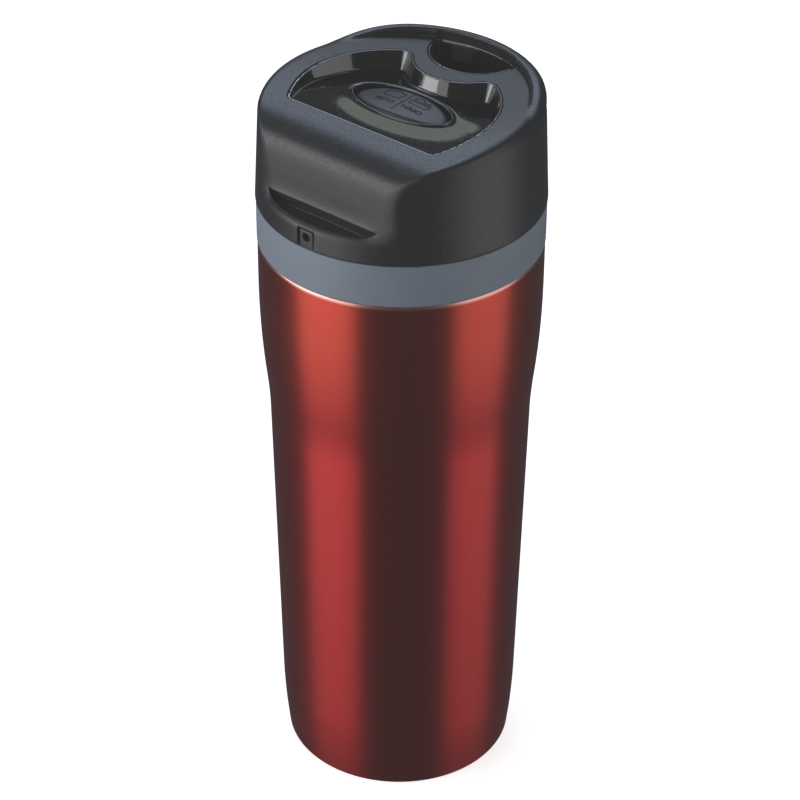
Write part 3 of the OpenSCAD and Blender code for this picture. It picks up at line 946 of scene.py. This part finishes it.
def steel(name, low, high):
    """Bare steel, brushed round the mug's axis."""
    paint = Paint(name)
    paint.set(Metallic=1.0, Anisotropic=0.6, Anisotropic_Rotation=0.25)
    streaks = paint.brushed(25, 3500)
    paint.feed("Base Color", paint.tint(streaks, low, high))
    paint.feed("Roughness", paint.spread(streaks, 0.25, 0.36))
    paint.bump(streaks, 0.004)
    return paint.material


def moulded(name, dark, light, rough, grain, depth, specular=0.5):
    """Moulded plastic between two tones, with a fine grain of that scale and depth."""
    paint = Paint(name)
    paint.shader.inputs["Specular IOR Level"].default_value = specular
    fine = paint.noise(paint.place, grain)
    cloud = paint.noise(paint.place, CLOUD_SCALE, CLOUD_DETAIL)
    paint.feed("Base Color", paint.tint(cloud, dark, light))
    paint.feed("Roughness", paint.spread(fine, rough - ROUGH_SPREAD, rough + ROUGH_SPREAD))
    paint.bump(fine, depth)
    return paint.material


def materials():
    """Every material by its record slot."""
    collar = moulded("collar_satin", (0.185, 0.222, 0.278), (0.195, 0.234, 0.293), 0.55, 2500, 0.006)
    cover = moulded("cover_matte", (0.009, 0.01, 0.012), (0.012, 0.013, 0.016), 0.41, 1600, 0.045)
    deck = moulded("deck_gloss", (0.006, 0.006, 0.006), (0.009, 0.009, 0.009), 0.08, 900, 0.0006, 0.9)
    insert = moulded("insert_smooth", (0.02, 0.02, 0.021), (0.03, 0.03, 0.032), 0.35, 1200, 0.004)
    button = moulded("button_matte", (0.016, 0.018, 0.022), (0.02, 0.022, 0.027), 0.45, 2600, 0.012)
    ink = moulded("mark_ink", (0.004, 0.004, 0.005), (0.006, 0.006, 0.007), 0.6, 2000, 0.002, 0.04)
    return {
        "red_lacquer": red_lacquer(),
        "steel": steel("brushed_steel", (0.56, 0.56, 0.57), (0.66, 0.66, 0.67)),
        "spring_steel": steel("spring_wire", (0.5, 0.5, 0.5), (0.62, 0.62, 0.62)),
        "copper_foil": steel("copper_foil", (0.66, 0.38, 0.24), (0.78, 0.5, 0.34)),
        "getter_grey": moulded("getter_metal", (0.22, 0.22, 0.22), (0.34, 0.34, 0.34), 0.6, 1500, 0.02),
        "collar_grey": collar,
        "matte_black": cover,
        "gloss_black": deck,
        "insert_black": insert,
        "silicone": moulded("seal_silicone", (0.5, 0.5, 0.48), (0.6, 0.6, 0.58), 0.6, 1500, 0.006),
        "pom_white": moulded("latch_white", (0.68, 0.67, 0.63), (0.78, 0.77, 0.73), 0.4, 1200, 0.004),
        "button_black": button,
        "mark": ink,
    }


# ---- stage -------------------------------------------------------------------


def floor():
    """A plain pale floor under the mug."""
    size = 3000.0
    corners = [(-size, -size, 0), (size, -size, 0), (size, size, 0), (-size, size, 0)]
    obj = mesh_object("floor", corners, [(0, 1, 2, 3)])
    paint = Paint("floor_paper")
    paint.set(Base_Color=(0.82, 0.82, 0.82, 1), Roughness=0.9)
    paint.set(Emission_Color=(1, 1, 1, 1), Emission_Strength=0.75)
    obj.data.materials.append(paint.material)
    obj.visible_glossy = False
    obj.visible_diffuse = False
    obj.visible_shadow = False
    obj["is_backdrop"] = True


def softbox(name, azimuth, elevation, aim, distance, width, height, radiance, colour):
    """An area light that faces the mug's axis at height aim.

    Its azimuth is 0 towards -Y and 90 towards +X, and radiance is the brightness of its face.
    """
    a = math.radians(azimuth)
    e = math.radians(elevation)
    target = np.array([0, 0, aim])
    back = np.array([math.sin(a) * math.cos(e), -math.cos(a) * math.cos(e), math.sin(e)])
    lamp = bpy.data.lights.new(name, "AREA")
    lamp.shape = "RECTANGLE"
    lamp.size = width
    lamp.size_y = height
    lamp.energy = radiance * math.pi * width * height
    lamp.color = colour
    obj = bpy.data.objects.new(name, lamp)
    bpy.context.scene.collection.objects.link(obj)
    obj.location = target + back * distance
    obj.rotation_euler = (math.pi / 2 - e, 0, a)


def lights():
    """Tall side softboxes, one for the lid's roll, a cool one and a card behind, and a dim sky."""
    softbox("left_box", -22, 0, 0.32, 1.1, 1.05, 2.35, 1.55, (1, 0.99, 0.98))
    softbox("right_box", 107, 0, 0.32, 1.1, 1.0, 2.35, 1.1, (1, 0.99, 0.98))
    softbox("roll_box", -39, 16, 0.19, 1.2, 0.9, 0.42, 3.5, (0.97, 0.98, 1.0))
    softbox("sky_box", 226, 48, 0.19, 1.2, 0.85, 0.5, 4.3, (0.66, 0.77, 1.0))
    softbox("card", 220, 30.3, 0.19, 1.2, 0.8, 0.21, 0.78, (0.86, 1.0, 0.88))
    world = bpy.data.worlds.new("studio")
    bpy.context.scene.world = world
    world.use_nodes = True
    shade = world.node_tree.nodes["Background"]
    shade.inputs["Color"].default_value = (0.85, 0.92, 1.0, 1)
    shade.inputs["Strength"].default_value = 0.07


def camera():
    """The camera, above the corner between the scoop and the mug's right side."""
    lens = bpy.data.cameras.new("camera")
    lens.sensor_width = 36.0
    lens.lens = 130.5
    lens.clip_start = 0.02
    lens.clip_end = 20.0
    obj = bpy.data.objects.new("camera", lens)
    bpy.context.scene.collection.objects.link(obj)
    obj.location = (0.40517, -0.48977, 0.53117)
    obj.rotation_euler = tuple(math.radians(a) for a in (56.2533, -0.2863, 39.7993))
    bpy.context.scene.camera = obj


# ---- the mug -----------------------------------------------------------------


def cover_grid():
    """Grid lines for the cover, coarser up its plain wall."""
    flat = levels((-37.4, 37.4, CELL))
    high = levels((169.2, 178.4, CELL), (178.4, 191.2, COARSE_CELL), (191.2, 200.4, FINE_CELL))
    return flat, flat, high


def deck_grid():
    """Grid lines for the deck, coarser below its tray."""
    flat = levels((-33.6, 33.6, CELL))
    high = levels((164.4, 190.0, COARSE_CELL), (190.0, 197.8, FINE_CELL))
    return flat, flat, high


def catch_grid():
    """Grid lines for the catch."""
    spans = (-3.2, 3.2), (-37.0, -33.8), (169.2, 175.8)
    return [levels((*span, CATCH_CELL)) for span in spans]


def build(paints):
    """Every detailed piece, each on its body."""
    body = lathe("steel_body", body_profile())
    finish_piece(body, "mug", "red_lacquer", paints["red_lacquer"], "outer_shell")
    collar = lathe("collar", collar_profile())
    finish_piece(collar, "mug", "collar_grey", paints["collar_grey"], "collar_band")
    cover = shape_object("cover", cover_field, cover_grid())
    finish_piece(cover, "lid", "matte_black", paints["matte_black"], "lid_cover")
    deck = shape_object("deck", deck_field, deck_grid())
    finish_piece(deck, "lid", "gloss_black", paints["gloss_black"], "top_panel")
    catch = shape_object("catch", catch_field, catch_grid())
    finish_piece(catch, "lid", "matte_black", paints["matte_black"], "catch_tab")
    well_ring(paints["gloss_black"])
    button_top(paints["button_black"])
    spring_coil(paints["spring_steel"])
    button_marks(paints["mark"])


def paint_nodes(paints):
    """The CAD nodes that stay get their slot's material."""
    for part in frame["record"]["subparts"]:
        mesh = frame["nodes"][part["node"]].data
        mesh.materials.clear()
        mesh.materials.append(paints[part["material_slot"]])


def view_settings():
    """Plain tones with slightly lifted blacks."""
    view = bpy.context.scene.view_settings
    view.view_transform = "Standard"
    view.use_curve_mapping = True
    view.curve_mapping.black_level = (BLACK_LIFT, BLACK_LIFT, BLACK_LIFT)
    view.curve_mapping.update()


view_settings()
camera()
lights()
floor()
paints = materials()
paint_nodes(paints)
build(paints)
boxes = {"cad": cad_box, "visual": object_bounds()}
{name: [list(corner) for corner in box] for name, box in boxes.items()}
